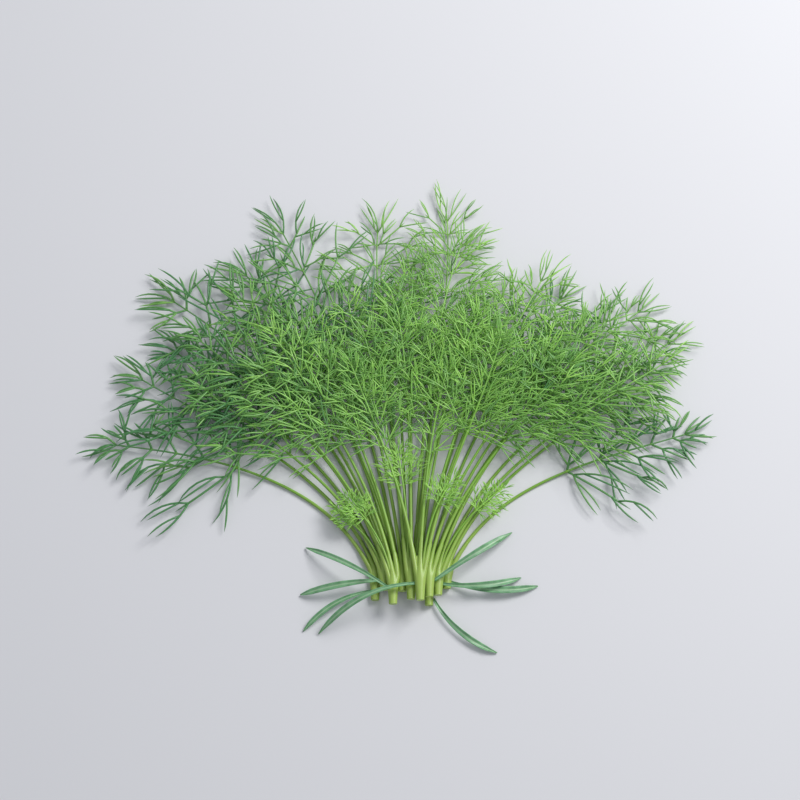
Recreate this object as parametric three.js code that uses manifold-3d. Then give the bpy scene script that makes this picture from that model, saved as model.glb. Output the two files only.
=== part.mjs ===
// A loose bunch of young dill, cut at the soil and laid on a flat surface. Millimetres.
//
// +Y runs from the cut ends to the leaf tips, +Z is up, and the bunch lies on Z = 0. The sprigs
// lie in layers, each layer on the one below, fewer in each. A sprig is a short cut stem with
// leaves side by side on it, and a leaf is a bare stalk that runs on as a midrib, with pairs of
// side ribs along its outer half. The outermost sprigs keep a strap-shaped seed leaf.
import * as THREE from "three";
import { mergeVertices } from "three/addons/utils/BufferGeometryUtils.js";
import Module from "manifold-3d";

const wasm = await Module();
wasm.setup();

// The pile of sprigs.
const SPRIGS_IN_LAYER = [5, 4, 3, 1];
const SPRIG_GAP = 2; // between the stems of one layer
const CROWN_RISE = 7.6; // between layers in the crown, where feathery blades hold them apart
const CROWN_LIFT = 2.6; // the lowest midribs, off the surface on their own leaflets
const CROWN_FROM = 0.33; // where the crown begins, as a share of the leaf length
const CROWN_SPAN = 0.9; // how far it goes on, in the same measure
const FAN_BOTTOM = 70; // degrees from +Y to the outermost leaf of the lowest layer
const FAN_TOP = 26; // degrees, of the highest layer
const RAGGED_ENDS = 3; // how far the sprigs are out of line, each way

// A leaf.
const LEAVES_ON_SPRIG = 3;
const LEAF_LENGTH = 198; // from the stem to the tip, of a leaf that points straight along +Y
const OUTER_SHORTER = 0.14; // share by which a leaf straight out to the side would be shorter
const LAYER_SHORTER = 0.12; // share by which the leaves of each layer are shorter than below
const LENGTH_SPREAD = 0.13; // share by which leaves differ in length, each way
const TIP_SWING = 16; // degrees by which a tip bends off its leaf's angle, each way
const STALK_RADIUS = 1.1;
const TIP_RADIUS = 0.5;
const STALK_GAP = 0.3; // between stalks, side by side on a stem
const STALK_SIDES = 5;
const STALK_STEPS = 8;
const RIB_PLACES = [0.59, 0.72, 0.85]; // along the leaf, for each left side rib
const RIB_STAGGER = 0.018; // how much further along the leaf each right side rib is
const RIB_LENGTH = 31; // the lowest pair of a full-sized leaf
const RIB_ANGLE = 50; // degrees, from the midrib
const RIB_OF_STALK = 0.7; // a rib's radius where it leaves the stalk, as a share of the stalk's
const RIB_TIP_RADIUS = 0.25;
const SHORTEST_RIB = 4;

// A cut stem.
const STEM_LENGTH = 13;
const STEM_SPREAD = 0.3; // share by which stems differ in length, each way
const STEM_RADIUS = 2.1; // at the round cut end, and half the thickness all along
const STEM_TOP_MARGIN = 0.1; // from the outer stalks to the edge of the stem's flared top
const STEM_SIDES = 10;

// A seed leaf.
const SEED_LEAF_LENGTH = 44;
const SEED_LEAF_SPREAD = 0.18; // share by which seed leaves differ in length, each way
const SEED_LEAF_HALF_WIDTH = 1.6;
const SEED_LEAF_HALF_THICKNESS = 0.45;
const SEED_LEAF_ARCH = 2.5;
const SEED_LEAF_STEPS = 7;
const SEED_LEAF_HEADINGS = [112, 90, 66]; // degrees from +Y, one for each layer that has them
const SEED_LEAF_SWING = 12; // degrees by which a seed leaf turns off its heading, each way
const SEED_LEAF_BEND = 40; // degrees that it curves over its length, at most, each way
const SEED_LEAF_DOWN_STEM = [0.7, 0.53, 0.36]; // shares of the stem, for the same layers

// Clearances between pieces.
const JOINT_GAP = 0.7; // from a stem to the stalks and the seed leaf that it carries
const RIB_GAP = 0.4; // from a side rib to any other leaf
const LAYER_GAP = 0.5; // from a stem or stalk to what it lies on

const LAYERS = SPRIGS_IN_LAYER.length;
const STALK_PITCH = 2 * STALK_RADIUS + STALK_GAP;
const STEM_TOP_HALF_WIDTH =
  ((LEAVES_ON_SPRIG - 1) / 2) * STALK_PITCH + STALK_RADIUS + STEM_TOP_MARGIN;
const SPRIG_PITCH = 2 * STEM_TOP_HALF_WIDTH + SPRIG_GAP;
// A stem's oval top lies in the hollow between two like it, half a pitch to either side.
const HOLLOW = Math.sqrt(Math.max(0, 1 - (SPRIG_PITCH / (4 * STEM_TOP_HALF_WIDTH)) ** 2));
const NECK_RISE = 2 * Math.max(STEM_RADIUS * HOLLOW, STALK_RADIUS) + LAYER_GAP;
const UP = new THREE.Vector3(0, 0, 1);

// A repeatable number from -1 to 1 for each pair of whole numbers.
function wobble(number, kind) {
  const mixed = Math.sin(number * 12.9898 + kind * 78.233) * 43758.5453;
  return 2 * (mixed - Math.floor(mixed)) - 1;
}

// How far a place is into the crown: 0 at the neck and past the tips, 1 in the middle.
function crownAt(x, y) {
  const outward = Math.hypot(x, y) / LEAF_LENGTH;
  const share = THREE.MathUtils.clamp((outward - CROWN_FROM) / CROWN_SPAN, 0, 1);
  return Math.sin(Math.PI * share) ** 2;
}

// The height of a midrib in a layer. Every other leaf of a layer lies half a layer higher in
// the crown, so that neighbouring blades pass over each other.
function layerHeight(x, y, layer, leafNumber) {
  const crown = crownAt(x, y);
  const spread = (CROWN_RISE - NECK_RISE) * crown;
  const halfUp = (leafNumber % 2) * spread * 0.5;
  return CROWN_LIFT * crown + layer * (NECK_RISE + spread) + halfUp;
}

function heading(degrees) {
  const turn = THREE.MathUtils.degToRad(degrees);
  return new THREE.Vector2(Math.sin(turn), Math.cos(turn));
}

// A closed tube along a curve. section(share) gives half its width and half its thickness.
function tube(curve, section, sides, steps) {
  const geometry = new THREE.CylinderGeometry(1, 1, 1, sides, steps);
  const place = geometry.attributes.position;
  for (let i = 0; i < place.count; i++) {
    const share = place.getY(i) + 0.5;
    const ahead = curve.getTangent(share);
    const across = new THREE.Vector3().crossVectors(ahead, UP).normalize();
    const over = new THREE.Vector3().crossVectors(across, ahead);
    const [halfWidth, halfThickness] = section(share);
    const point = curve
      .getPoint(share)
      .addScaledVector(across, place.getX(i) * halfWidth)
      .addScaledVector(over, place.getZ(i) * halfThickness);
    place.setXYZ(i, point.x, point.y, point.z);
  }
  return geometry;
}

function solidOf(geometry) {
  geometry.deleteAttribute("normal");
  geometry.deleteAttribute("uv");
  const merged = mergeVertices(geometry, 1e-4);
  return new wasm.Manifold(
    new wasm.Mesh({
      numProp: 3,
      vertProperties: merged.attributes.position.array,
      triVerts: new Uint32Array(merged.index.array),
    }),
  );
}

function meshOf(name, solid, material) {
  const { vertProperties, triVerts } = solid.getMesh();
  const geometry = new THREE.BufferGeometry();
  geometry.setAttribute("position", new THREE.BufferAttribute(vertProperties, 3));
  geometry.setIndex(new THREE.BufferAttribute(triVerts, 1));
  const mesh = new THREE.Mesh(geometry, material);
  mesh.name = name;
  return mesh;
}

const materials = {
  stem: new THREE.MeshStandardMaterial({ color: 0xa9bf7c, roughness: 0.55, metalness: 0 }),
  leaf: new THREE.MeshStandardMaterial({ color: 0x57863f, roughness: 0.5, metalness: 0 }),
  seedLeaf: new THREE.MeshStandardMaterial({ color: 0x5d8f66, roughness: 0.5, metalness: 0 }),
};

// The sprigs, from the lowest layer up and from left to right. Odd layers lie half a pitch to
// the right, with each stem in the hollow between two below.
function planSprigs() {
  const sprigs = [];
  SPRIGS_IN_LAYER.forEach((count, layer) => {
    for (let i = 0; i < count; i++) {
      const number = sprigs.length + 1;
      sprigs.push({
        name: "sprig_" + String(number).padStart(2, "0"),
        number,
        layer,
        left: i === 0,
        right: i === count - 1,
        firstLeaf: i * LEAVES_ON_SPRIG,
        stemLength: STEM_LENGTH * (1 + STEM_SPREAD * wobble(number, 6)),
        x: (i - Math.floor(count / 2) + (layer % 2) / 2) * SPRIG_PITCH,
        y: RAGGED_ENDS * wobble(number, 1),
        z: STEM_RADIUS + layer * NECK_RISE,
      });
    }
  });
  return sprigs;
}

// A leaf's line lies in its layer. It leaves the stem near +Y and arches out to its own angle.
function leafLine(sprig, onSprig) {
  const { layer, x, y, z } = sprig;
  const leafNumber = sprig.firstLeaf + onSprig;
  const leavesInLayer = SPRIGS_IN_LAYER[layer] * LEAVES_ON_SPRIG;
  const seed = layer * 20 + leafNumber;
  const fan = THREE.MathUtils.lerp(FAN_BOTTOM, FAN_TOP, layer / (LAYERS - 1));
  const step = (2 * fan) / (leavesInLayer - 1);
  const angle = -fan + step * (leafNumber + 0.3 * wobble(seed, 2));
  const tipAngle = angle + TIP_SWING * wobble(seed, 4);
  const lean = Math.sin(THREE.MathUtils.degToRad(angle)) ** 2;
  const length =
    LEAF_LENGTH *
    (1 - LAYER_SHORTER * layer) *
    (1 - OUTER_SHORTER * lean) *
    (1 + LENGTH_SPREAD * wobble(seed, 3));
  const start = new THREE.Vector2(x + (onSprig - (LEAVES_ON_SPRIG - 1) / 2) * STALK_PITCH, y);
  const plan = new THREE.CubicBezierCurve(
    start,
    start.clone().addScaledVector(heading(0.35 * angle), 0.4 * length),
    start.clone().addScaledVector(heading(0.8 * angle), 0.75 * length),
    start
      .clone()
      .addScaledVector(heading(0.8 * angle), 0.75 * length)
      .addScaledVector(heading(tipAngle), 0.27 * length),
  );
  const points = plan.getPoints(STALK_STEPS).map((p) => {
    const share = Math.hypot(p.x - start.x, p.y - start.y) / length;
    const radius = THREE.MathUtils.lerp(STALK_RADIUS, TIP_RADIUS, share);
    const onStem = (z - layer * NECK_RISE - radius) * Math.exp(-share * 20);
    return new THREE.Vector3(
      p.x,
      p.y + JOINT_GAP,
      radius + onStem + layerHeight(p.x, p.y, layer, leafNumber),
    );
  });
  return { seed, layer, leafNumber, length, line: new THREE.CatmullRomCurve3(points) };
}

// Every stretch of leaf already in place, for keeping side ribs clear of other leaves.
const laid = [];
function lay(curve, steps, radius, owner) {
  const points = curve.getPoints(steps);
  for (let i = 0; i < steps; i++)
    laid.push({ stretch: new THREE.Line3(points[i], points[i + 1]), radius, owner });
}

function isClear(curve, radius, owner) {
  const nearest = new THREE.Vector3();
  const points = curve.getPoints(24);
  return laid.every(
    (other) =>
      other.owner === owner ||
      points.every(
        (p) =>
          other.stretch.closestPointToPoint(p, true, nearest).distanceTo(p) >
          radius + other.radius + RIB_GAP,
      ),
  );
}

// A side rib leaves the midrib to one side and bends forward. It stays short of other leaves.
function sideRib(leaf, place, side) {
  const radius = RIB_OF_STALK * THREE.MathUtils.lerp(STALK_RADIUS, TIP_RADIUS, place);
  const root = leaf.line.getPoint(place);
  const ahead = leaf.line.getTangent(place);
  const along = THREE.MathUtils.radToDeg(Math.atan2(ahead.x, ahead.y));
  const fullLength =
    (RIB_LENGTH * leaf.length * (1.15 - place)) / (LEAF_LENGTH * (1.15 - RIB_PLACES[0]));
  const lift = root.z - layerHeight(root.x, root.y, leaf.layer, leaf.leafNumber);
  for (let length = fullLength; length > SHORTEST_RIB; length *= 0.85) {
    const points = [0, 0.5, 1].map((share) => {
      const turned = heading(along + side * RIB_ANGLE * (1 - 0.25 * share));
      const x = root.x + turned.x * length * share;
      const y = root.y + turned.y * length * share;
      const z = lift + layerHeight(x, y, leaf.layer, leaf.leafNumber);
      return new THREE.Vector3(x, y, Math.max(z, radius));
    });
    points[0].z = root.z;
    const line = new THREE.CatmullRomCurve3(points);
    if (isClear(line, radius, leaf)) return { line, radius };
  }
  return null;
}

function leafSolid(leaf) {
  const taper = (from, to) => (share) => Array(2).fill(THREE.MathUtils.lerp(from, to, share));
  const stalk = tube(leaf.line, taper(STALK_RADIUS, TIP_RADIUS), STALK_SIDES, STALK_STEPS);
  let solid = solidOf(stalk);
  for (const place of RIB_PLACES)
    for (const side of [-1, 1]) {
      const rib = sideRib(leaf, side < 0 ? place : place + RIB_STAGGER, side);
      if (!rib) continue;
      lay(rib.line, 2, rib.radius, leaf);
      solid = solid.add(solidOf(tube(rib.line, taper(rib.radius, RIB_TIP_RADIUS), 3, 2)));
    }
  return solid;
}

// The stem runs from the round cut end to the flared top.
function stemSolid({ x, y, z, stemLength }) {
  const line = new THREE.LineCurve3(
    new THREE.Vector3(x, y - stemLength, z),
    new THREE.Vector3(x, y, z),
  );
  const flare = (share) => [
    THREE.MathUtils.lerp(STEM_RADIUS, STEM_TOP_HALF_WIDTH, share),
    STEM_RADIUS,
  ];
  return solidOf(tube(line, flare, STEM_SIDES, 1));
}

// A seed leaf leaves the stem's outer side, arches over what lies beside it and droops.
function seedLeafSolid({ number, x, y, z, layer, left, stemLength }) {
  const side = left ? -1 : 1;
  const facing = SEED_LEAF_HEADINGS[layer] + SEED_LEAF_SWING * wobble(number, 7);
  const bend = SEED_LEAF_BEND * wobble(number, 8);
  const length = SEED_LEAF_LENGTH * (1 + SEED_LEAF_SPREAD * wobble(number, 9));
  const down = SEED_LEAF_DOWN_STEM[layer];
  const stemHalfWidth = THREE.MathUtils.lerp(STEM_TOP_HALF_WIDTH, STEM_RADIUS, down);
  const place = new THREE.Vector2(x + side * (stemHalfWidth + JOINT_GAP), y - down * stemLength);
  const points = [];
  for (let i = 0; i <= SEED_LEAF_STEPS; i++) {
    const share = i / SEED_LEAF_STEPS;
    const height =
      THREE.MathUtils.lerp(z, SEED_LEAF_HALF_THICKNESS, share ** 2) +
      SEED_LEAF_ARCH * Math.sin(Math.PI * share);
    points.push(new THREE.Vector3(place.x, place.y, height));
    const turned = heading(side * (facing + bend * (share + 0.5 / SEED_LEAF_STEPS)));
    place.addScaledVector(turned, length / SEED_LEAF_STEPS);
  }
  const strap = (share) => [
    SEED_LEAF_HALF_WIDTH * (0.35 + 0.65 * Math.sin(Math.PI * (0.08 + 0.84 * share))),
    SEED_LEAF_HALF_THICKNESS,
  ];
  return solidOf(tube(new THREE.CatmullRomCurve3(points), strap, 6, SEED_LEAF_STEPS));
}

const bunch = new THREE.Group();
const sprigs = planSprigs();
for (const sprig of sprigs) {
  sprig.leaves = [...Array(LEAVES_ON_SPRIG).keys()].map((i) => leafLine(sprig, i));
  for (const leaf of sprig.leaves) lay(leaf.line, STALK_STEPS * 2, STALK_RADIUS, leaf);
}
for (const sprig of sprigs) {
  bunch.add(meshOf(sprig.name + "_stem", stemSolid(sprig), materials.stem));
  sprig.leaves.forEach((leaf, i) => {
    bunch.add(meshOf(`${sprig.name}_leaf_${i + 1}`, leafSolid(leaf), materials.leaf));
  });
  const hasSeedLeaf = sprig.layer < SEED_LEAF_HEADINGS.length && (sprig.left || sprig.right);
  if (hasSeedLeaf)
    bunch.add(meshOf(sprig.name + "_seed_leaf", seedLeafSolid(sprig), materials.seedLeaf));
}

// The origin is under the middle of the bunch, on the surface that it lies on.
const box = new THREE.Box3().setFromObject(bunch);
const middle = box.getCenter(new THREE.Vector3());
bunch.position.set(-middle.x, -middle.y, -box.min.z);

export default bunch;
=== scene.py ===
# A loose bunch of young dill, cut at the soil and laid on a pale table. Metres.
import math
import random

import bmesh
import bpy
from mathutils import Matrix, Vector


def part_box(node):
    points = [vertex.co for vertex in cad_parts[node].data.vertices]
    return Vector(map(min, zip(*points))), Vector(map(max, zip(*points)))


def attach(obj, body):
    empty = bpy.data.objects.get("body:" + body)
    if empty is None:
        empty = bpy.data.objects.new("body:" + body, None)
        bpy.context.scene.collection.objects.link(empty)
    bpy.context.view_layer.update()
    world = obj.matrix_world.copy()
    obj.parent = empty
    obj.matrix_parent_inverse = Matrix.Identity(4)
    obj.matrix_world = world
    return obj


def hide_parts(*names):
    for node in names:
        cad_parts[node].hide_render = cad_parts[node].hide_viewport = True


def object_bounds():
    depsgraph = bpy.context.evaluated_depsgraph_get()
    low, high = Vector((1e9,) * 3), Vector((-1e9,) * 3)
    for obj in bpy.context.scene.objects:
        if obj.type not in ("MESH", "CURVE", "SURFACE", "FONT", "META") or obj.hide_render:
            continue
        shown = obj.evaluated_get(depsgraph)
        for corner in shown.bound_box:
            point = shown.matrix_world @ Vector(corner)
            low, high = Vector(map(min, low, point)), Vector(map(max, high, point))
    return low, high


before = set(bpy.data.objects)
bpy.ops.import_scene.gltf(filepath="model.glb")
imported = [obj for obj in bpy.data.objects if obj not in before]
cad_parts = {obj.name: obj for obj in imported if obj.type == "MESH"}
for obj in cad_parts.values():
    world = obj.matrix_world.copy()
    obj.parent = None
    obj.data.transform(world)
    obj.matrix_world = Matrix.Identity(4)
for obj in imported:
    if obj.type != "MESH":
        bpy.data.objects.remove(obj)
cad_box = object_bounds()

# ---------------------------------------------------------------------------------------------
# The leaves. Thirteen small plants lie in layers, each layer on the one below, cut ends towards
# -Y, and their leaves fan out towards +Y. A ribbed bare stalk runs on as a midrib, and pairs of
# side branches along it carry long limp threads, fewer and broader on the old outer leaves.

SPRIGS_IN_LAYER = [5, 4, 3, 1]
LEAVES_ON_SPRIG = 3
STALK_RADIUS = 0.0011
TIP_RADIUS = 0.0005
STALK_PITCH = 0.0025  # between stalks, side by side on a stem
STEM_RADIUS = 0.0021
STEM_TOP_MARGIN = 0.0001  # from the outer stalks to the edge of the stem's flared top
STEM_TOP_HALF_WIDTH = STALK_PITCH + STALK_RADIUS + STEM_TOP_MARGIN
SPRIG_GAP = 0.002  # between the stems of one layer
SPRIG_PITCH = 2 * STEM_TOP_HALF_WIDTH + SPRIG_GAP
LAYER_GAP = 0.0005  # from a stem or stalk to what it lies on
# A stem's oval top lies in the hollow between two like it, half a pitch to either side.
HOLLOW = math.sqrt(1 - (SPRIG_PITCH / (4 * STEM_TOP_HALF_WIDTH)) ** 2)
NECK_RISE = 2 * STEM_RADIUS * HOLLOW + LAYER_GAP
RAGGED_ENDS = 0.003  # how far the sprigs are out of line, each way
JOINT_GAP = 0.0007  # from a stem to the stalks and the seed leaves that it carries

LEAF_LENGTH = 0.198  # of a leaf that points straight along +Y
OUTER_SHORTER = 0.14  # share by which a leaf straight out to the side would be shorter
LAYER_SHORTER = 0.12  # share by which the leaves of each layer are shorter than below
LENGTH_SPREAD = 0.13  # share by which leaves differ in length, each way
FAN_BOTTOM = 70  # degrees from +Y to the outermost leaf of the lowest layer
FAN_TOP = 26  # degrees, of the highest layer
TIP_SWING = 16  # degrees by which a tip bends off its leaf's angle, each way
CROWN_FROM = 0.33  # where the crown begins, as a share of the leaf length
CROWN_SPAN = 0.9  # how far it goes on, in the same measure
CROWN_RISE = 0.0076  # between layers in the crown, where feathery blades hold them apart
CROWN_LIFT = 0.0026  # the lowest midribs, off the table on their own threads


def lerp(start, end, share):
    return start + (end - start) * share


def clamp(value, low=0.0, high=1.0):
    return max(low, min(high, value))


def wobble(number, kind):
    """A repeatable number from -1 to 1 for each pair of whole numbers."""
    mixed = math.sin(number * 12.9898 + kind * 78.233) * 43758.5453
    return 2 * (mixed - math.floor(mixed)) - 1


def heading(degrees):
    turn = math.radians(degrees)
    return Vector((math.sin(turn), math.cos(turn)))


def layer_height(x, y, layer, leaf_number):
    """The height of a midrib over the pile's own plan. Every other leaf lies half a layer up."""
    share = clamp((math.hypot(x, y) / LEAF_LENGTH - CROWN_FROM) / CROWN_SPAN)
    crown = math.sin(math.pi * share) ** 2
    spread = (CROWN_RISE - NECK_RISE) * crown
    half_up = (leaf_number % 2) * spread * 0.5
    return CROWN_LIFT * crown + layer * (NECK_RISE + spread) + half_up


def plan_leaf(sprig, on_sprig):
    """Where one leaf lies, as the four points of its curve in plan and the sizes it follows."""
    layer = sprig["layer"]
    leaf_number = sprig["first_leaf"] + on_sprig
    leaves_in_layer = SPRIGS_IN_LAYER[layer] * LEAVES_ON_SPRIG
    seed = layer * 20 + leaf_number
    fan = lerp(FAN_BOTTOM, FAN_TOP, layer / (len(SPRIGS_IN_LAYER) - 1))
    angle = -fan + 2 * fan / (leaves_in_layer - 1) * (leaf_number + 0.3 * wobble(seed, 2))
    lean = math.sin(math.radians(angle)) ** 2
    length = (
        LEAF_LENGTH
        * (1 - LAYER_SHORTER * layer)
        * (1 - OUTER_SHORTER * lean)
        * (1 + LENGTH_SPREAD * wobble(seed, 3))
    )
    start = Vector((sprig["x"] + (on_sprig - (LEAVES_ON_SPRIG - 1) / 2) * STALK_PITCH, sprig["y"]))
    outer = start + heading(0.8 * angle) * 0.75 * length
    knots = [
        start,
        start + heading(0.35 * angle) * 0.4 * length,
        outer,
        outer + heading(angle + TIP_SWING * wobble(seed, 4)) * 0.27 * length,
    ]
    return {
        "name": f"{sprig['name']}_leaf_{on_sprig + 1}",
        "seed": seed,
        "layer": layer,
        "number": leaf_number,
        "angle": angle,
        "length": length,
        "radius": STALK_RADIUS,
        "start_z": sprig["z"],
        "on_top": 0.0,
        "knots": knots,
    }


def leaf_point(leaf, share):
    """A point of the leaf's midrib in the pile's own plan, from its stem at 0 to its tip at 1."""
    a, b, c, d = leaf["knots"]
    back = 1 - share
    p = a * back**3 + b * 3 * back**2 * share + c * 3 * back * share**2 + d * share**3
    reach = (p - a).length / leaf["length"]
    radius = lerp(leaf["radius"], TIP_RADIUS, reach)
    on_stem = (leaf["start_z"] - leaf["layer"] * NECK_RISE - radius) * math.exp(-reach * 20)
    on_top = leaf["on_top"] * (1 - math.exp(-reach * 8))
    z = radius + on_stem + layer_height(p.x, p.y, leaf["layer"], leaf["number"]) + on_top
    return Vector((p.x, p.y + JOINT_GAP, z))


def leaf_heading(leaf, share):
    """The way the midrib runs at a share of its length, in degrees from +Y."""
    ahead = leaf_point(leaf, min(share + 0.01, 1)) - leaf_point(leaf, min(share + 0.01, 1) - 0.02)
    return math.degrees(math.atan2(ahead.x, ahead.y))


def lift_at(leaf, point):
    """How far a point lies over the leaf's layer."""
    return point.z - layer_height(point.x, point.y, leaf["layer"], leaf["number"])


sprigs = []
for layer, count in enumerate(SPRIGS_IN_LAYER):
    for i in range(count):
        number = len(sprigs) + 1
        sprig = {
            "name": f"sprig_{number:02d}",
            "number": number,
            "layer": layer,
            "side": -1 if i == 0 else 1 if i == count - 1 else 0,
            "first_leaf": i * LEAVES_ON_SPRIG,
            "x": (i - count // 2 + (layer % 2) / 2) * SPRIG_PITCH,
            "y": RAGGED_ENDS * wobble(number, 1),
            "z": STEM_RADIUS + layer * NECK_RISE,
        }
        sprig["leaves"] = [plan_leaf(sprig, on_sprig) for on_sprig in range(LEAVES_ON_SPRIG)]
        sprigs.append(sprig)

# The frame's origin is under the middle of the bunch, and the pile's own is at its neck.
stem_low, stem_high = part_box("sprig_01_stem")
neck = Vector(
    (
        (stem_low.x + stem_high.x) / 2 - sprigs[0]["x"],
        stem_high.y - sprigs[0]["y"],
        (stem_low.z + stem_high.z) / 2 - sprigs[0]["z"],
    )
)


PALE_BASE = (0.43, 0.57, 0.13, 1)
STALK_GREEN = (0.22, 0.44, 0.05, 1)
STALK_RIB_GREEN = (0.12, 0.31, 0.04, 1)
OLD_BLADE = (0.078, 0.245, 0.09, 1)
FRESH_BLADE = (0.38, 0.73, 0.13, 1)
BLADE_SHADE = (0.07, 0.23, 0.04, 1)


def attribute_node(tree, name):
    node = tree.nodes.new("ShaderNodeAttribute")
    node.attribute_name = name
    return node.outputs["Fac"]


def mix_node(tree, factor, first, second):
    """A colour mix. Each input is a socket or a constant colour."""
    node = tree.nodes.new("ShaderNodeMix")
    node.data_type = "RGBA"
    for socket, value in ((node.inputs[0], factor), (node.inputs[6], first), (node.inputs[7], second)):
        if isinstance(value, bpy.types.NodeSocket):
            tree.links.new(value, socket)
        else:
            socket.default_value = value
    return node.outputs[2]


def range_node(tree, value, low, high, to_low, to_high):
    node = tree.nodes.new("ShaderNodeMapRange")
    tree.links.new(value, node.inputs[0])
    for i, bound in enumerate((low, high, to_low, to_high)):
        node.inputs[i + 1].default_value = bound
    return node.outputs[0]


def noise_node(tree, scale, detail):
    place = tree.nodes.new("ShaderNodeTexCoord")
    node = tree.nodes.new("ShaderNodeTexNoise")
    node.inputs["Scale"].default_value = scale
    node.inputs["Detail"].default_value = detail
    tree.links.new(place.outputs["Object"], node.inputs["Vector"])
    return node.outputs["Fac"]


def satin_skin(name):
    """A finely grained satin skin that lets a little light in. Returns the material, and the
    patches that its gloss follows. Its colour is linked in by each kind of piece."""
    material = bpy.data.materials.new(name)
    material.use_nodes = True
    tree = material.node_tree
    skin = tree.nodes["Principled BSDF"]
    patches = noise_node(tree, 130, 3)
    tree.links.new(range_node(tree, patches, 0.3, 0.7, 0.3, 0.44), skin.inputs["Roughness"])
    bump = tree.nodes.new("ShaderNodeBump")
    bump.inputs["Strength"].default_value = 0.25
    bump.inputs["Distance"].default_value = 0.0002
    tree.links.new(noise_node(tree, 1800, 2), bump.inputs["Height"])
    tree.links.new(bump.outputs["Normal"], skin.inputs["Normal"])
    skin.inputs["Subsurface Weight"].default_value = 0.15
    skin.inputs["Subsurface Radius"].default_value = (0.0006, 0.0012, 0.0003)
    skin.inputs["Subsurface Scale"].default_value = 1.0
    return material, patches


def leaf_skin():
    """Green. tone goes from 0 at the base of a stalk over 0.5 to 1 on a blade, and fresh from 0
    on an old leaf to 1 on a young one. On the threads fresh also carries painted light: threads
    that rise higher off their leaf are painted lighter, and low ones painted darker as shade."""
    material, patches = satin_skin("living_green")
    tree = material.node_tree
    tone = attribute_node(tree, "tone")
    blade = mix_node(tree, attribute_node(tree, "fresh"), OLD_BLADE, FRESH_BLADE)
    deeper = mix_node(tree, range_node(tree, patches, 0.4, 0.7, 0.0, 0.5), blade, BLADE_SHADE)
    stalk = mix_node(tree, range_node(tree, tone, 0.0, 0.5, 0.0, 1.0), PALE_BASE, STALK_GREEN)
    groove = range_node(tree, attribute_node(tree, "rib"), 0.0, 1.0, 0.0, 0.4)
    ribbed = mix_node(tree, groove, stalk, STALK_RIB_GREEN)
    whole = mix_node(tree, range_node(tree, tone, 0.5, 0.85, 0.0, 1.0), ribbed, deeper)
    tree.links.new(whole, tree.nodes["Principled BSDF"].inputs["Base Color"])
    return material


green = leaf_skin()


def mark(verts, layers, tone, rib=0.0):
    for vert in verts:
        vert[layers["tone"]] = tone
        vert[layers["rib"]] = rib


def mark_layers(bm):
    """The layers of a bmesh that hold tone, rib and fresh, made if they aren't there yet."""
    floats = bm.verts.layers.float
    return {name: floats.get(name) or floats.new(name) for name in ("tone", "rib", "fresh")}


def piece_from(bm, name, fresh, material, slot, *nodes):
    """Makes a finished piece of a bmesh, sets it on the bunch and lets it stand for its nodes.
    fresh comes on top of what its verts have already."""
    layers = mark_layers(bm)
    for vert in bm.verts:
        vert[layers["fresh"]] = clamp(vert[layers["fresh"]] + fresh)
    bmesh.ops.recalc_face_normals(bm, faces=bm.faces[:])
    for face in bm.faces:
        face.smooth = True
    mesh = bpy.data.meshes.new(name)
    bm.to_mesh(mesh)
    bm.free()
    mesh.materials.append(material)
    piece = bpy.data.objects.new(name, mesh)
    bpy.context.scene.collection.objects.link(piece)
    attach(piece, "root")
    if nodes:
        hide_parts(*nodes)


STALK_SIDES = 18
STALK_RINGS = 56
STALK_RIB_DEPTH = 0.13  # of its radius
JOINT_SWELL = 0.4  # share by which the stalk is thicker where a pair of branches leaves it
JOINT_HALF_LENGTH = 0.007  # half the length of such a swelling, as a share of the leaf


def set_ring(ring, centre, ahead, radius, rib_depth):
    """Moves a ring of verts to its place on a stalk, with every second vert a little in."""
    across = Vector((ahead.y, -ahead.x, 0)).normalized()
    over = across.cross(ahead).normalized()
    for i, vert in enumerate(ring):
        turn = 2 * math.pi * i / len(ring)
        inset = 1 - rib_depth * (i % 2)
        vert.co = (
            centre
            + across * math.cos(turn) * radius * inset
            + over * math.sin(turn) * radius * inset
        )


def extrude_ring(bm, edges):
    """Extrudes an open rim and returns its new edges and verts, in the order of the old ones."""
    grown = bmesh.ops.extrude_edge_only(bm, edges=edges)["geom"]
    new_edges = [part for part in grown if isinstance(part, bmesh.types.BMEdge)]
    new_verts = [part for part in grown if isinstance(part, bmesh.types.BMVert)]
    return new_edges, new_verts


def add_stalk(bm, leaf, joints, blade_from, end):
    """The stalk and midrib, ring by ring, with a swelling at each joint."""
    layers = mark_layers(bm)
    stops = [end * i / STALK_RINGS for i in range(STALK_RINGS + 1)]
    for joint in joints:
        stops += [joint - JOINT_HALF_LENGTH, joint, joint + JOINT_HALF_LENGTH]
    circle = bmesh.ops.create_circle(bm, cap_ends=True, segments=STALK_SIDES, radius=STALK_RADIUS)
    ring = circle["verts"]
    rim = list(dict.fromkeys(edge for vert in ring for edge in vert.link_edges))
    for i, share in enumerate(sorted(stops)):
        if i:
            rim, ring = extrude_ring(bm, rim)
        ahead = Vector((0, 1, 0))
        if share > 0.01:
            ahead = leaf_point(leaf, share + 0.004) - leaf_point(leaf, share - 0.004)
        near = min([abs(share - joint) for joint in joints], default=1)
        swell = 1 + JOINT_SWELL * clamp(1 - near / JOINT_HALF_LENGTH)
        radius = lerp(leaf["radius"], TIP_RADIUS * 0.8, clamp(share / 0.85) ** 0.9) * swell
        depth = STALK_RIB_DEPTH * clamp(1.2 - share)
        set_ring(ring, leaf_point(leaf, share) + neck, ahead.normalized(), radius, depth)
        tone = 0.1 + 0.4 * clamp(share / 0.35) + 0.3 * clamp((share - blade_from + 0.1) / 0.3)
        mark(ring, layers, tone - 0.3 * (swell - 1))
        mark(ring[1::2], layers, tone - 0.3 * (swell - 1), 1.0)
    bmesh.ops.holes_fill(bm, edges=rim, sides=0)


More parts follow.
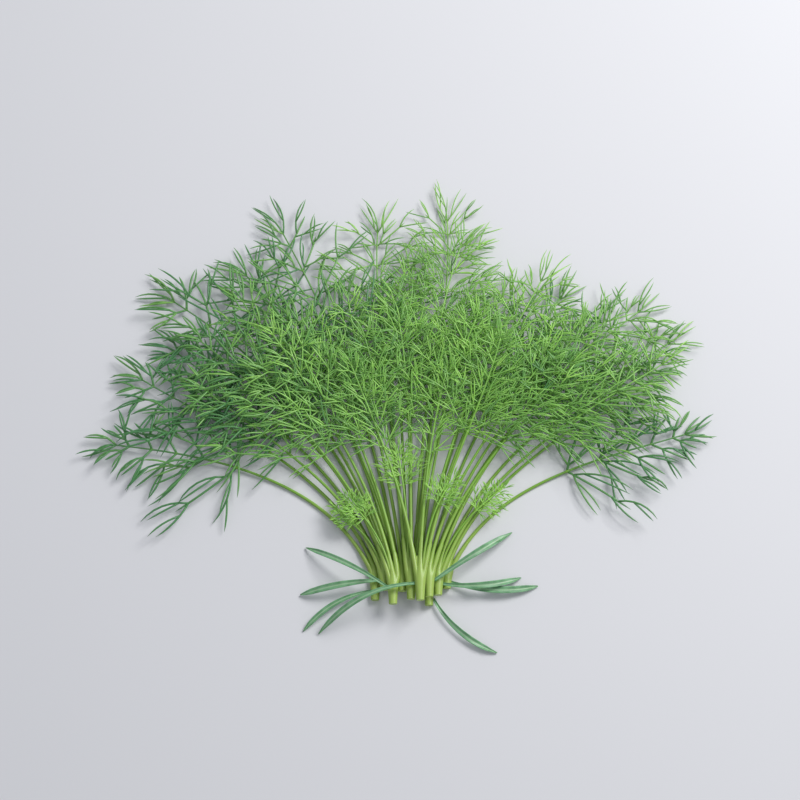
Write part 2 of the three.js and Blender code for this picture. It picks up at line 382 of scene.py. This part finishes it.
THREAD_SIDES = 6
THREAD_KNOTS = 7
THREAD_FLATNESS = 0.6  # thickness over width
THREAD_DROOP = 26  # degrees by which a thread out to the side bends towards the cut ends
THREAD_ARCH = 0.05  # rise in the middle of a thread, as a share of its length

outline = bpy.data.curves.new("thread_outline", "CURVE")
outline.dimensions = "2D"
loop = outline.splines.new("POLY")
loop.points.add(THREAD_SIDES - 1)
loop.use_cyclic_u = True
for i, knot in enumerate(loop.points):
    turn = 2 * math.pi * i / THREAD_SIDES
    knot.co = (math.cos(turn), THREAD_FLATNESS * math.sin(turn), 0, 1)
thread_outline = bpy.data.objects.new("thread_outline", outline)


def run_out(leaf, start, turn, bend, length, lift_end, knots):
    """A line that leaves start, a knot of another line, bends evenly in plan, arches a little and
    ends at a set lift."""
    here, lift = start[0].copy(), start[2]
    line = [(here, turn, lift)]
    for i in range(1, knots):
        share = i / (knots - 1)
        way = heading(turn + bend * (share - 0.5 / (knots - 1)))
        here = here + Vector((way.x, way.y, 0)) * length / (knots - 1)
        raised = lerp(lift, lift_end, share) + THREAD_ARCH * length * math.sin(math.pi * share)
        z = layer_height(here.x, here.y, leaf["layer"], leaf["number"]) + raised
        line.append((Vector((here.x, here.y, z)), turn + bend * share, raised))
    return line


def add_thread(threads, line, radius, tone, tint_and_rise_light):
    """Keeps a line as one thread: full for most of its length, then drawn out to a point."""
    last = len(line) - 1
    knots = []
    for i, (place, _, _) in enumerate(line):
        size = radius * (0.1 if i == last else 0.68 if i == last - 1 else lerp(1.0, 0.88, i / last))
        low = THREAD_FLATNESS * size + 0.0001
        knots.append((Vector((place.x, place.y, max(place.z, low))) + neck, size, tone))
    threads.append((knots, tint_and_rise_light))


def add_pinnule(threads, leaf, rng, start, out, hand, reach, prongs, habit):
    """One thread that arches forward, with prongs that leave it early and run on beside it."""
    radius, fluff = habit["radius"], habit["fluff"]
    droop = THREAD_DROOP * math.sin(math.radians(out))
    curl = -hand * rng.uniform(14, 56) + droop
    rise = start[2] + rng.uniform(-0.6, 1.3) * fluff
    thread = run_out(leaf, start, out, curl, reach, rise, THREAD_KNOTS)
    # A random tint, plus painted light: a thread that rises higher off its leaf is painted lighter,
    # and a low one is painted darker as shade.
    tint_and_rise_light = rng.gauss(0, 0.14) + 6 * (rise - fluff)
    add_thread(threads, thread, radius, 1.0, tint_and_rise_light)
    for prong in range(prongs):
        fork = thread[1 + prong + rng.choice((0, 0, 1))]
        swing = (hand if prong % 2 else -hand) * rng.uniform(18, 32)
        rise = fork[2] + rng.uniform(-0.6, 1.3) * fluff
        split = run_out(
            leaf, fork, fork[1] + swing, -0.6 * swing + 0.5 * droop,
            reach * rng.uniform(0.55, 0.85), rise, THREAD_KNOTS,
        )
        add_thread(threads, split, radius * 0.93, 1.0, tint_and_rise_light + rng.gauss(0, 0.08))


BRANCH_FROM = 0.5  # where the first pair of branches leaves, as a share of the leaf
BRANCH_TO = 0.885  # the same of the last pair
BRANCH_LENGTH = 0.041  # the first pair of a full-sized leaf
BRANCH_SHRINK = 0.42  # the last pair over the first
BRANCH_ANGLE = 54
TIP_AT = 0.935  # where the threads of the leaf's own tip begin, as a share of the leaf
TIP_REACH = 0.52  # their length over that of the first branches
MIDRIB_END = 0.94  # just past where they begin


def grow_branch(threads, leaf, rng, start, turn, side, length, reach, habit):
    """One side branch: its own rib, and pairs of threads that get shorter along it. reach is the
    length that they are worked out from."""
    bend = -side * rng.uniform(12, 34) + 0.6 * THREAD_DROOP * math.sin(math.radians(turn))
    rise = start[2] + rng.uniform(-0.5, 1.2) * habit["fluff"]
    rib = run_out(leaf, start, turn, bend, length, rise, 11)
    add_thread(threads, rib, habit["radius"] * 1.1, 0.9, 0.05)
    places = max(1, round(habit["pairs"] * length / BRANCH_LENGTH))
    for pair in range(places):
        along = lerp(0.1, 0.78, pair / max(1, places - 1)) if places > 1 else 0.3
        for hand in (-1, 1):
            knot = rib[round(clamp(along + rng.uniform(-0.05, 0.07), 0.1, 0.8) * 10)]
            thread_length = reach * lerp(0.62, 0.42, along) * rng.uniform(0.8, 1.15)
            out = knot[1] + hand * lerp(rng.uniform(38, 60), rng.uniform(22, 38), along)
            prongs = rng.choice((1, 1, 2)) if along < 0.6 else rng.choice((0, 1, 1))
            add_pinnule(threads, leaf, rng, knot, out, hand, thread_length, prongs, habit)


def threads_mesh(name, threads):
    """Sweeps the outline along every thread at once, and marks each ring with its tone and with
    what its thread adds to its leaf's fresh: a random tint, and painted light that makes threads
    higher off the leaf lighter and low ones darker."""
    curve = bpy.data.curves.new(name, "CURVE")
    curve.dimensions = "3D"
    curve.twist_mode = "Z_UP"
    curve.bevel_mode = "OBJECT"
    curve.bevel_object = thread_outline
    curve.use_fill_caps = True
    for thread, _ in threads:
        spline = curve.splines.new("POLY")
        spline.points.add(len(thread) - 1)
        for knot, (place, radius, _) in zip(spline.points, thread):
            knot.co = (*place, 1)
            knot.radius = radius
    swept = bpy.data.objects.new(name, curve)
    bpy.context.scene.collection.objects.link(swept)
    mesh = bpy.data.meshes.new_from_object(swept.evaluated_get(bpy.context.evaluated_depsgraph_get()))
    bpy.data.objects.remove(swept)
    bpy.data.curves.remove(curve)
    tones, tint_and_rise_light = [], []
    for thread, more in reversed(threads):
        tones += [thread[-1][2]] * THREAD_SIDES + [thread[0][2]] * THREAD_SIDES
        tint_and_rise_light += [more] * 2 * THREAD_SIDES
    for thread, more in threads:
        for knot in thread:
            tones += [knot[2]] * THREAD_SIDES
        tint_and_rise_light += [more] * len(thread) * THREAD_SIDES
    mesh.attributes.new("tone", "FLOAT", "POINT").data.foreach_set("value", tones)
    mesh.attributes.new("fresh", "FLOAT", "POINT").data.foreach_set("value", tint_and_rise_light)
    bm = bmesh.new()
    bm.from_mesh(mesh)
    bmesh.ops.remove_doubles(bm, verts=bm.verts[:], dist=1e-6)
    bm.to_mesh(mesh)
    bm.free()
    return mesh


def grow_leaf(leaf, habit):
    """A whole leaf as one bmesh: stalk, side branches with their threads, and a forked tip."""
    rng = random.Random(500 + leaf["seed"])
    size = leaf["length"] / LEAF_LENGTH * habit["size"]
    steps = habit["joints"]
    joints = [lerp(habit["from"], BRANCH_TO, (i / (steps - 1)) ** 0.88) for i in range(steps)]
    threads = []
    for i, joint in enumerate(joints):
        root = leaf_point(leaf, joint)
        start = (root, 0.0, lift_at(leaf, root))
        turn = leaf_heading(leaf, joint)
        for side in (-1, 1):
            length = BRANCH_LENGTH * size * lerp(1.0, BRANCH_SHRINK, i / (steps - 1))
            length *= rng.uniform(0.85, 1.15)
            out = turn + side * (BRANCH_ANGLE + rng.uniform(-9, 9))
            reach = lerp(BRANCH_LENGTH * size, length, 0.68) * habit["reach"]
            grow_branch(threads, leaf, rng, start, out, side, length, reach, habit)
    root = leaf_point(leaf, TIP_AT)
    start = (root, 0.0, lift_at(leaf, root))
    turn = leaf_heading(leaf, TIP_AT)
    for side in (-1, 0, 1):
        reach = TIP_REACH * BRANCH_LENGTH * size * rng.uniform(0.8, 1.1)
        out = turn + side * rng.uniform(30, 46)
        add_pinnule(threads, leaf, rng, start, out, side or 1, reach, 1, habit)
    mesh = threads_mesh(leaf["name"] + "_threads", threads)
    bm = bmesh.new()
    bm.from_mesh(mesh)
    bpy.data.meshes.remove(mesh)
    add_stalk(bm, leaf, joints, habit["from"], MIDRIB_END)
    return bm


# old goes up to 1 on the lowest leaves on the left, and pairs is how many pairs of threads a
# full-sized branch has. Fluff is how far its threads rise off the leaf.
for sprig in sprigs:
    for leaf in sprig["leaves"]:
        outward = clamp((abs(leaf["angle"]) - 12) / 46) * (1 - 0.25 * leaf["layer"])
        among = 0.55 * max(0, wobble(leaf["seed"], 17) - 0.2)
        old = clamp(outward * (1.0 if leaf["angle"] < 0 else 0.5) + among)
        habit = {
            "size": lerp(1, 1.1, old),
            "from": BRANCH_FROM + 0.03 * wobble(leaf["seed"], 6),
            "joints": 5 if old > 0.4 else 6,
            "pairs": lerp(4.0, 2.0, old),
            "reach": lerp(1.0, 1.4, old),
            "radius": lerp(0.00036, 0.00060, old),
            "fluff": lerp(0.0030, 0.0024, old),
        }
        fresh = 0.66 - 0.62 * old + 0.05 * leaf["layer"] + 0.1 * wobble(leaf["seed"], 5)
        bm = grow_leaf(leaf, habit)
        piece_from(bm, leaf["name"] + "_frond", clamp(fresh), green, "leaf", leaf["name"])

# ---------------------------------------------------------------------------------------------
# The cut stems. Each is the short foot of one plant, cut square at the soil: round and pale at
# the cut, with a wetter ring inside the skin. Its ribbed skin widens and runs on as thin sheaths
# round the bases of its stalks, each sheath with its own soft tip.

STEM_SIDES = 72
STEM_RINGS = 10
SHEATH_RINGS = 16
STEM_RIB_DEPTH = 0.045
CUT_SKIN = 0.00028  # the skin's width in the cut face
CUT_RING = 0.0006  # the wetter ring's width inside it
SHEATH_SHORTEST = 0.006  # past the stem's top, between stalks
SHEATH_TONGUE = 0.016  # how much further it reaches along a stalk
SHEATH_MARGIN = 0.0003  # from a stalk to the outside of its sheath
SHEATH_WALL = 0.00015


def stalk_beside(turn):
    """Which stalk the skin lies on at an angle round the stem, and the angle round that stalk.
    Each sixth of a turn goes half round one stalk."""
    sixth = int(turn / (math.pi / 3) + 1e-6) % 6
    local = 3 * (turn - sixth * math.pi / 3) + (math.pi if sixth > 2 else 0)
    return (2, 1, 0, 0, 1, 2)[sixth], local


def sheath_reach(sprig, turn):
    """How far a sheath reaches past the stem's top: furthest on top of its stalk."""
    stalk, local = stalk_beside(turn)
    outside = math.cos(local) * (stalk - 1) > 0
    along = 1 if outside else math.sin(local) ** 2
    tongue = SHEATH_TONGUE * (0.8 + 0.5 * wobble(sprig["number"], 11 + stalk))
    shortest = SHEATH_SHORTEST * (1 + 0.2 * wobble(sprig["number"], 10))
    return shortest + tongue * along * (0.75 + 0.25 * abs(math.sin(local)))


def skin_point(sprig, turn, distance, rib, inward, low, high):
    """A point of the skin, a distance past the stem's top. The skin is round at the cut, oval at
    the top, and from there on closes round each stalk by itself."""
    radius = (high.z - low.z) / 2
    share = clamp(1 + distance / (high.y - low.y))
    half_width = lerp(radius, (high.x - low.x) / 2, share**1.3) * rib - inward
    half_thickness = radius * lerp(1, 0.95, share) * rib - inward
    stalk, local = stalk_beside(turn)
    lines = [
        leaf_point(leaf, max(distance, 0) / (1.2 * leaf["length"])) + neck
        for leaf in sprig["leaves"]
    ]
    size = (STALK_RADIUS + SHEATH_MARGIN) * rib - inward
    oval = (lines[0] + lines[2]) / 2
    oval += Vector((math.cos(turn) * half_width, 0, math.sin(turn) * half_thickness))
    close = lines[stalk] + Vector((math.cos(local) * size, 0, math.sin(local) * size))
    blend = clamp((distance + 0.005) / 0.011)
    point = oval.lerp(close, blend * blend * (3 - 2 * blend))
    point.y += min(distance, 0) - JOINT_GAP * math.exp(-max(distance, 0) / 0.003)
    point.z = max(point.z, 0.00005 + inward)
    return point


def place_stem_ring(ring, sprig, distance, share, inward, low, high):
    """Sets a ring a distance past the stem's top and then a share of the way up each sheath."""
    for i, vert in enumerate(ring):
        turn = 2 * math.pi * i / len(ring)
        along = distance + share * sheath_reach(sprig, turn)
        rib = 1 - STEM_RIB_DEPTH * (i % 2)
        vert.co = skin_point(sprig, turn, along, rib, inward, low, high)


def stem_bmesh(sprig):
    low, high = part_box(sprig["name"] + "_stem")
    bm = bmesh.new()
    layers = mark_layers(bm)
    ring = bmesh.ops.create_circle(bm, cap_ends=True, segments=STEM_SIDES, radius=STEM_RADIUS)["verts"]
    cut = bm.faces[:][0]
    rim = bm.edges[:]
    for edge in rim:
        edge.smooth = False
    for step in range(STEM_RINGS + 1):
        share = step / STEM_RINGS
        if step:
            rim, ring = extrude_ring(bm, rim)
            for edge in rim:
                edge.smooth = True
        place_stem_ring(ring, sprig, (share - 1) * (high.y - low.y), 0, 0, low, high)
        mark(ring, layers, 0.02 + 0.1 * share)
        mark(ring[1::2], layers, 0.02 + 0.1 * share, 0.7)
    for step in range(1, SHEATH_RINGS + 1):
        share = step / SHEATH_RINGS
        rim, ring = extrude_ring(bm, rim)
        place_stem_ring(ring, sprig, 0, share, 0, low, high)
        mark(ring, layers, 0.12 + 0.2 * share)
        mark(ring[1::2], layers, 0.12 + 0.2 * share, 0.7 - 0.5 * share)
    for share in (0.99, 0.6, 0.3, 0.0):
        rim, ring = extrude_ring(bm, rim)
        place_stem_ring(ring, sprig, 0, share, SHEATH_WALL, low, high)
        mark(ring, layers, 0.1)
    bmesh.ops.holes_fill(bm, edges=rim, sides=0)
    for width, depth, tone in ((CUT_SKIN, 0.0, 0.35), (CUT_RING, 0.0001, 0.0)):
        bmesh.ops.inset_region(bm, faces=[cut], thickness=width, depth=0)
        bmesh.ops.translate(bm, verts=cut.verts[:], vec=Vector((0, depth, 0)))
        mark(cut.verts, layers, tone)
    return bm


for sprig in sprigs:
    bm = stem_bmesh(sprig)
    piece_from(bm, sprig["name"] + "_cut_stem", 0.7, green, "stem", sprig["name"] + "_stem")

# ---------------------------------------------------------------------------------------------
# The seed leaves. The plants keep some of their first leaves: narrow limp straps, bluish green,
# with a pale groove along the middle and the edges a little raised, drooping to the table.

SEED_LEAF_LENGTH = 0.044
SEED_LEAF_SPREAD = 0.18  # share by which they differ in length, each way
SEED_LEAF_HALF_WIDTH = 0.0017
SEED_LEAF_THICKNESS = 0.0004
SEED_LEAF_ARCH = 0.0025
SEED_LEAF_HEADINGS = [112, 90, 66]  # degrees from +Y, one for each layer that has them
SEED_LEAF_SWING = 12  # degrees by which one turns off its heading, each way
SEED_LEAF_BEND = 40  # degrees that one curves over its length, at most, each way
SEED_LEAF_DOWN_STEM = [0.7, 0.53, 0.36]  # shares of the stem, for the same layers
SEED_LEAF_ROOT = 0.0014  # how far its base runs back, over the gap and into the stem's skin
SEED_LEAF_ACROSS = 8
SEED_LEAF_ALONG = 44
SEED_LEAF_DARK = (0.11, 0.28, 0.13, 1)
SEED_LEAF_LIGHT = (0.20, 0.42, 0.22, 1)
SEED_LEAF_MIDLINE = (0.42, 0.60, 0.38, 1)
# Spare ones: number of the sprig, side, share down its stem, heading, bend, length and arch.
SPARE_SEED_LEAVES = [
    (13, -1, 0.45, 96, 40, 0.056, 0.004),
    (4, 1, 0.85, 152, -44, 0.043, 0.001),
]


def strap_skin():
    """Bluish green, patchy, and paler along the middle, where rib is 1."""
    material, _ = satin_skin("seed_leaf_green")
    tree = material.node_tree
    groove = range_node(tree, attribute_node(tree, "rib"), 0.0, 1.0, 0.0, 0.75)
    patches = range_node(tree, noise_node(tree, 240, 3), 0.35, 0.65, 0.0, 1.0)
    strap = mix_node(tree, patches, SEED_LEAF_DARK, SEED_LEAF_LIGHT)
    whole = mix_node(tree, groove, strap, SEED_LEAF_MIDLINE)
    tree.links.new(whole, tree.nodes["Principled BSDF"].inputs["Base Color"])
    return material


strap_green = strap_skin()


def strap_bmesh(sprig, side, down, facing, bend, length, arch, seed):
    broad = SEED_LEAF_HALF_WIDTH * (1 + 0.18 * wobble(seed, 15))
    twist = 34 * wobble(seed, 14)
    low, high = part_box(sprig["name"] + "_stem")
    stem_half_width = lerp((high.x - low.x) / 2, (high.z - low.z) / 2, down)
    start_z = (low.z + high.z) / 2
    here = Vector(
        (
            (low.x + high.x) / 2 + side * (stem_half_width + JOINT_GAP),
            high.y - down * (high.y - low.y),
        )
    )
    here -= heading(side * facing) * SEED_LEAF_ROOT
    step = (length + SEED_LEAF_ROOT) / SEED_LEAF_ALONG
    places = []
    for i in range(SEED_LEAF_ALONG + 1):
        share = clamp((i * step - SEED_LEAF_ROOT) / length)
        places.append((here.copy(), side * (facing + bend * share), share))
        here += heading(side * (facing + bend * (share + 0.5 * step / length))) * step
    bm = bmesh.new()
    layers = mark_layers(bm)
    grid = bmesh.ops.create_grid(bm, x_segments=SEED_LEAF_ACROSS, y_segments=SEED_LEAF_ALONG, size=0.5)
    for vert in grid["verts"]:
        u = 2 * vert.co.x
        place, turn, share = places[round((vert.co.y + 0.5) * SEED_LEAF_ALONG)]
        half_width = broad * (0.3 + 0.7 * math.sin(math.pi * (0.06 + 0.78 * share**1.2)))
        half_width *= clamp((1 - share) * 7 + 0.02) ** 0.5
        roll = math.radians(twist * math.sin(math.pi * share * 1.4))
        cup = 0.00045 * abs(u) ** 1.5 - 0.00014 * math.exp(-((u / 0.2) ** 2))
        across = heading(turn + 90)
        height = lerp(start_z, 0.0007, share**2) + arch * math.sin(math.pi * share)
        sideways = half_width * u * math.cos(roll)
        vert.co = (
            place.x + across.x * sideways,
            place.y + across.y * sideways,
            height + half_width * u * math.sin(roll) + cup,
        )
        mark([vert], layers, 0.9, math.exp(-((u / 0.22) ** 2)))
    bmesh.ops.solidify(bm, geom=bm.faces[:], thickness=SEED_LEAF_THICKNESS)
    for vert in bm.verts:
        vert.co.z = max(vert.co.z, 0.00005)
    return bm


for sprig in sprigs:
    if sprig["side"] and sprig["layer"] < len(SEED_LEAF_HEADINGS):
        number, layer = sprig["number"], sprig["layer"]
        facing = SEED_LEAF_HEADINGS[layer] + SEED_LEAF_SWING * wobble(number, 7)
        bend = SEED_LEAF_BEND * wobble(number, 8)
        length = SEED_LEAF_LENGTH * (1 + SEED_LEAF_SPREAD * wobble(number, 9))
        down = SEED_LEAF_DOWN_STEM[layer]
        name = sprig["name"]
        bm = strap_bmesh(sprig, sprig["side"], down, facing, bend, length, SEED_LEAF_ARCH, number)
        piece_from(bm, name + "_strap", 0.2, strap_green, "seed_leaf", name + "_seed_leaf")
for i, (number, side, *shape) in enumerate(SPARE_SEED_LEAVES):
    bm = strap_bmesh(sprigs[number - 1], side, *shape, 40 + i)
    piece_from(bm, f"spare_strap_{i + 1}", 0.2, strap_green, "seed_leaf")

# ---------------------------------------------------------------------------------------------
# The young leaves. Short and bright, they lie low on the stalks of their plants, with fine
# crowded threads that haven't opened yet.

YOUNG_RADIUS = 0.0007
# Number of the sprig, angle from +Y, length, and the outer stalk it comes out beside.
YOUNG_LEAVES = [
    (13, 17, 0.056, 2),
    (10, -36, 0.052, 0),
    (6, -50, 0.044, 0),
    (9, 46, 0.060, 2),
    (11, -4, 0.070, 0),
]

for i, (number, angle, length, stalk) in enumerate(YOUNG_LEAVES):
    sprig = sprigs[number - 1]
    young = dict(sprig["leaves"][stalk])
    start = (sprig["leaves"][1]["knots"][0] + young["knots"][0]) / 2
    outer = start + heading(0.7 * angle) * 0.7 * length
    young.update(
        name=f"young_leaf_{i + 1}",
        seed=100 + i,
        angle=angle,
        length=length,
        radius=YOUNG_RADIUS,
        on_top=2 * STALK_RADIUS + 0.0008,
        knots=[
            start,
            start + heading(0.3 * angle) * 0.4 * length,
            outer,
            outer + heading(angle + 25 * wobble(i, 16)) * 0.3 * length,
        ],
    )
    habit = {
        "size": 1.0,
        "from": 0.6,
        "joints": 5,
        "pairs": 12,
        "reach": 1.0,
        "radius": 0.00026,
        "fluff": 0.0012,
    }
    piece_from(grow_leaf(young, habit), young["name"], 1.0, green, "leaf")

# ---------------------------------------------------------------------------------------------
# The table, the light and the camera. A plain pale table, one broad soft light from the upper
# right and a weak fill, and a camera that looks down on the bunch from its cut ends.

TABLE_COLOUR = (0.72, 0.72, 0.74, 1)
ROOM_COLOUR = (0.9, 0.93, 1.0, 1)
WINDOW_PLACE = (0.9, 0.7, 1.1)
WINDOW_SIZE = 0.7
WINDOW_WATTS = 21
LENS = 70
ELEVATION = 70
DISTANCE = 0.84

bpy.ops.mesh.primitive_plane_add(size=24)
table = bpy.context.object
table.name = "table"
surface = bpy.data.materials.new("table")
surface.use_nodes = True
surface.node_tree.nodes["Principled BSDF"].inputs["Base Color"].default_value = TABLE_COLOUR
surface.node_tree.nodes["Principled BSDF"].inputs["Roughness"].default_value = 0.8
table.data.materials.append(surface)

world = bpy.data.worlds.new("room")
world.use_nodes = True
world.node_tree.nodes["Background"].inputs["Color"].default_value = ROOM_COLOUR
world.node_tree.nodes["Background"].inputs["Strength"].default_value = 0.45
bpy.context.scene.world = world
bpy.context.scene.view_settings.view_transform = "Standard"

window = bpy.data.lights.new("window", "AREA")
window.size = WINDOW_SIZE
window.energy = WINDOW_WATTS
window_holder = bpy.data.objects.new("window", window)
window_holder.location = WINDOW_PLACE
window_holder.rotation_euler = (-Vector(WINDOW_PLACE)).to_track_quat("-Z", "Y").to_euler()
bpy.context.scene.collection.objects.link(window_holder)

look_at = (cad_box[0] + cad_box[1]) / 2
lens = bpy.data.cameras.new("camera")
lens.lens = LENS
camera = bpy.data.objects.new("camera", lens)
lean = math.radians(ELEVATION)
camera.location = look_at + Vector((0, -math.cos(lean), math.sin(lean))) * DISTANCE
camera.rotation_euler = (look_at - camera.location).to_track_quat("-Z", "Y").to_euler()
bpy.context.scene.collection.objects.link(camera)
bpy.context.scene.camera = camera
